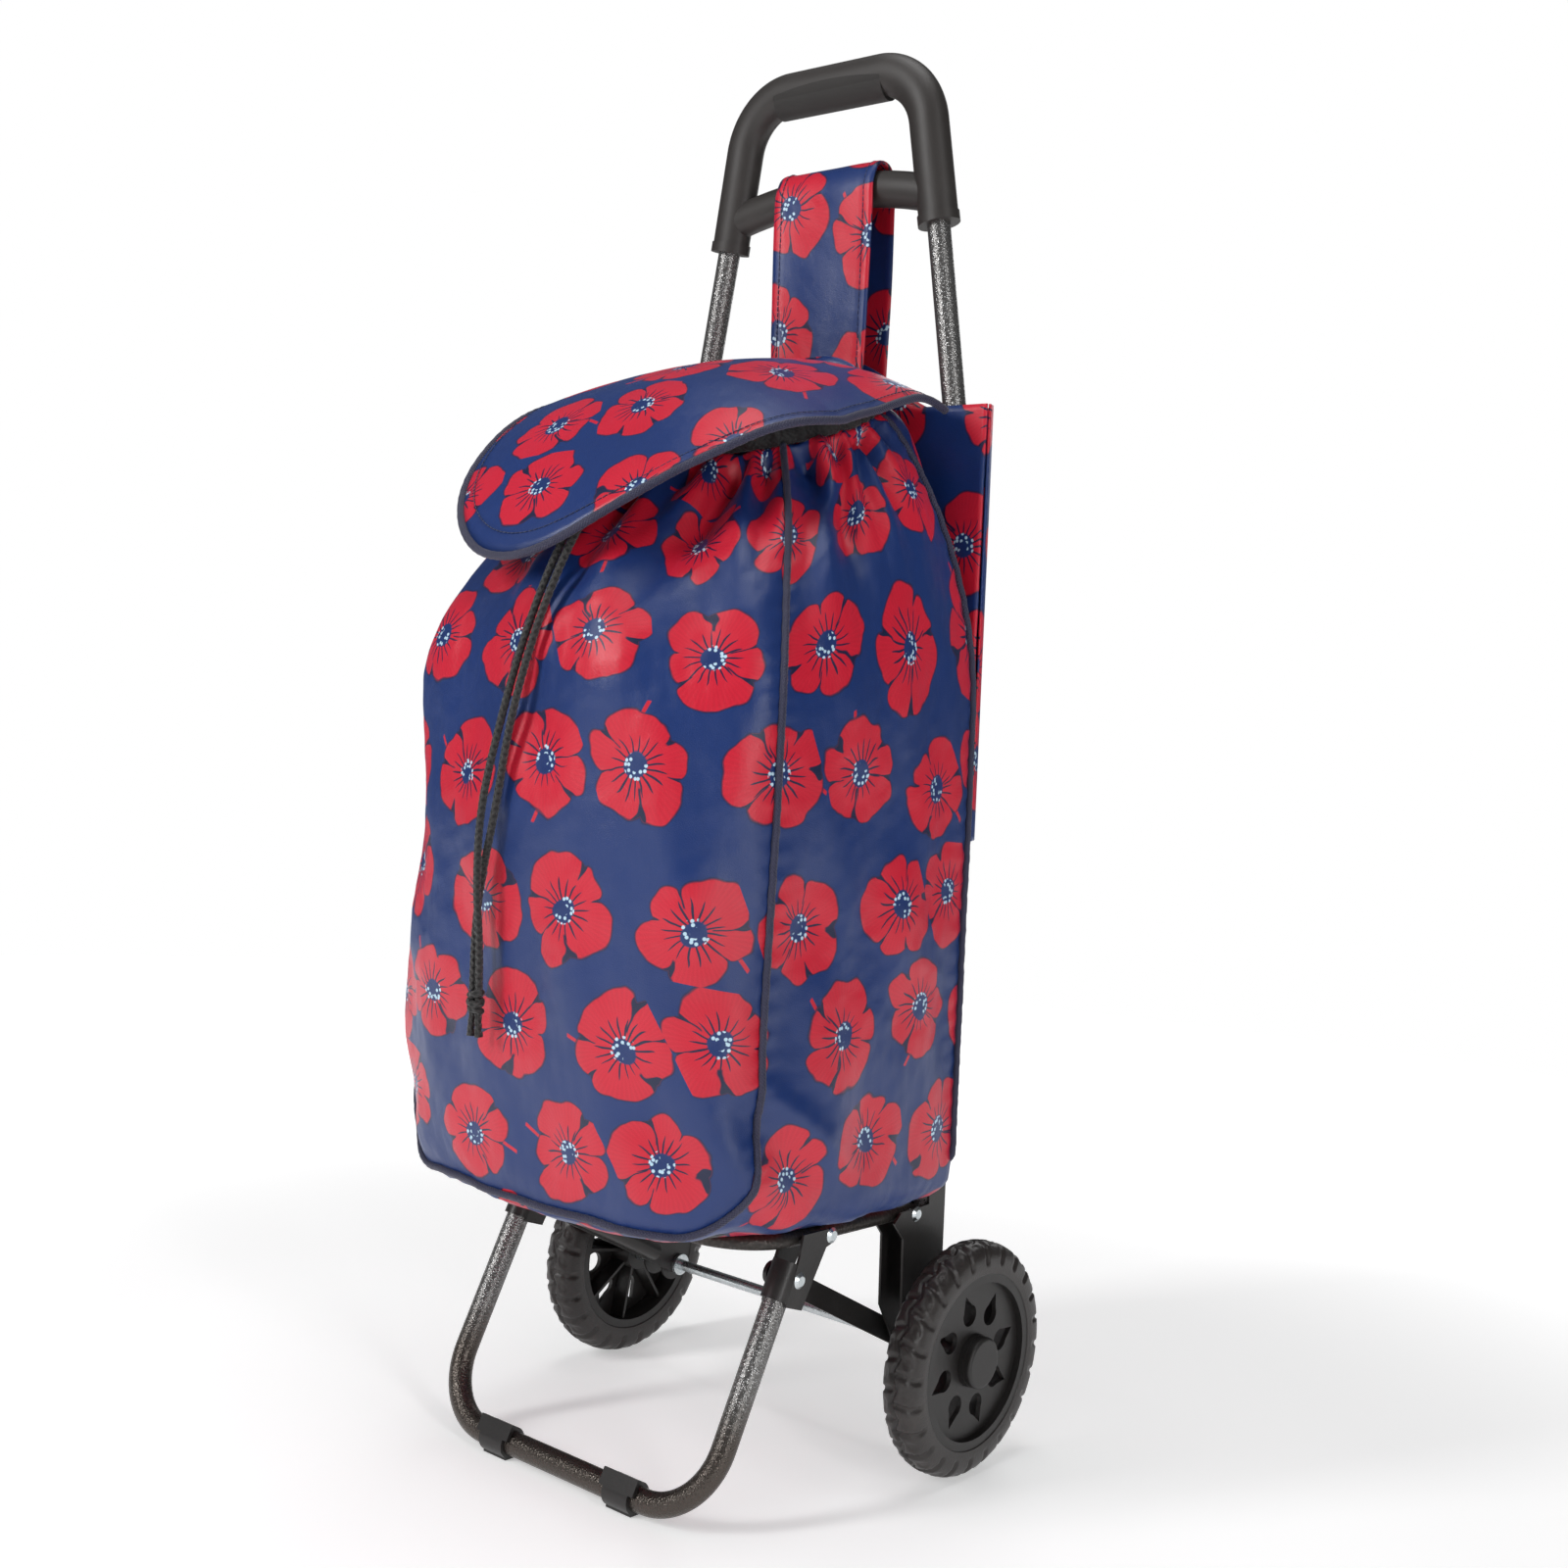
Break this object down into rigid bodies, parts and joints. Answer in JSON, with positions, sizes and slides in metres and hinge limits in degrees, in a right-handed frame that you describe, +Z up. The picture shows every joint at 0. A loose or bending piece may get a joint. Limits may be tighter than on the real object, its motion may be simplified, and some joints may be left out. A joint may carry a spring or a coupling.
{
  "type": "shopping trolley",
  "caption": "Folding two-wheeled shopping trolley: tall printed fabric bag with flap and drawstring, D-handle, folding base and U-shaped leg.",
  "frame": {"origin": "middle of the footprint, on the floor that the wheels and the foot clips stand on", "axes": "+Z up, front of the bag towards -Y, axle along X; the uprights lean 3.4 degrees forward"},
  "size_m": [0.36, 0.3879, 0.9689],
  "materials": {
    "hammertone_steel": "grey hammertone powder coat",
    "gunmetal_tube": "dark satin paint",
    "black_bracket": "black satin paint",
    "zinc": "bright zinc plate",
    "handle_plastic": "satin moulded",
    "soft_grip": "fine matt grain",
    "wheel_plastic": "satin moulded",
    "tyre": "foamed rubber with a low sheen",
    "printed_fabric": "satin woven polyester with a poppy print",
    "base_board": "fine texture",
    "piping": "bias tape over cord",
    "drawstring_black": "braided polyester"
  },
  "bodies": {
    "root": {"upright_right": "hammertone_steel", "upright_left": "hammertone_steel", "handle_grip": "handle_plastic", "handle_pad": "soft_grip", "rear_bracket_right": "black_bracket", "rear_bracket_left": "black_bracket", "base_pivot_rivets": "zinc", "axle": "zinc", "axle_push_nuts": "zinc", "axle_spacers": "wheel_plastic", "axle_collars": "zinc", "front_panel": "printed_fabric", "side_panel_right": "printed_fabric", "side_panel_left": "printed_fabric", "back_panel": "printed_fabric", "bottom_panel": "printed_fabric", "base_board": "base_board", "front_piping_right": "piping", "front_piping_left": "piping", "back_piping_right": "piping", "back_piping_left": "piping", "bag_shoulder": "printed_fabric", "mouth_channel": "drawstring_black", "channel_cord": "drawstring_black", "strap_loop": "printed_fabric", "frame_sleeve": "printed_fabric", "back_pocket": "printed_fabric", "pocket_zip": "drawstring_black", "cord_strand_right": "drawstring_black", "cord_strand_left": "drawstring_black", "cord_knot": "drawstring_black"},
    "base": {"base_loop": "gunmetal_tube"},
    "leg": {"leg_tube": "hammertone_steel", "leg_bracket_right": "black_bracket", "leg_bracket_left": "black_bracket", "bracket_rivets": "zinc", "foot_clip_right": "wheel_plastic", "foot_clip_left": "wheel_plastic"},
    "links": {"link_bar_right": "gunmetal_tube", "link_bar_left": "gunmetal_tube"},
    "wheel_right": {"tyre_right": "tyre", "rim_right": "wheel_plastic", "hub_bush_right": "wheel_plastic", "hub_cap_right": "wheel_plastic"},
    "wheel_left": {"tyre_left": "tyre", "rim_left": "wheel_plastic", "hub_bush_left": "wheel_plastic", "hub_cap_left": "wheel_plastic"},
    "flap": {"flap_cover": "printed_fabric", "flap_piping": "piping"},
    "zip": {"zip_slider": "zinc"}
  },
  "joints": [
    {"name": "wheel_right_spin", "type": "hinge", "parent": "root", "child": "wheel_right", "pos_m": [0.162, 0.10667, 0.08], "axis": [1, 0, 0], "continuous": true},
    {"name": "wheel_left_spin", "type": "hinge", "parent": "root", "child": "wheel_left", "pos_m": [-0.162, 0.10667, 0.08], "axis": [1, 0, 0], "continuous": true},
    {"name": "base_fold", "type": "hinge", "parent": "root", "child": "base", "pos_m": [0, 0.08292, 0.17545], "axis": [-1, 0, 0], "range_deg": [0, 88], "deforming": ["front_panel", "side_panel_right", "side_panel_left", "back_panel", "bottom_panel", "base_board", "front_piping_right", "front_piping_left", "back_piping_right", "back_piping_left", "bag_shoulder", "mouth_channel", "channel_cord", "cord_strand_right", "cord_strand_left", "cord_knot"]},
    {"name": "leg_fold", "type": "hinge", "parent": "base", "child": "leg", "pos_m": [0, -0.00976, 0.17571], "axis": [-1, 0, 0], "range_deg": [-106.1, 0.5]},
    {"name": "link_swing", "type": "hinge", "parent": "root", "child": "links", "pos_m": [0, 0.10667, 0.08], "axis": [-1, 0, 0], "range_deg": [-0.5, 47.14]},
    {"name": "flap_open", "type": "hinge", "parent": "root", "child": "flap", "pos_m": [0, 0.05088, 0.77691], "axis": [-1, 0, 0], "range_deg": [0, 88]},
    {"name": "zip_slide", "type": "slide", "parent": "root", "child": "zip", "axis": [1, 0, 0], "range_m": [0, 0.15]}
  ],
  "couplings": [
    {"joint": "leg_fold", "follows": "base_fold", "ratio": -1.2},
    {"joint": "link_swing", "follows": "base_fold", "ratio": 0.53}
  ]
}
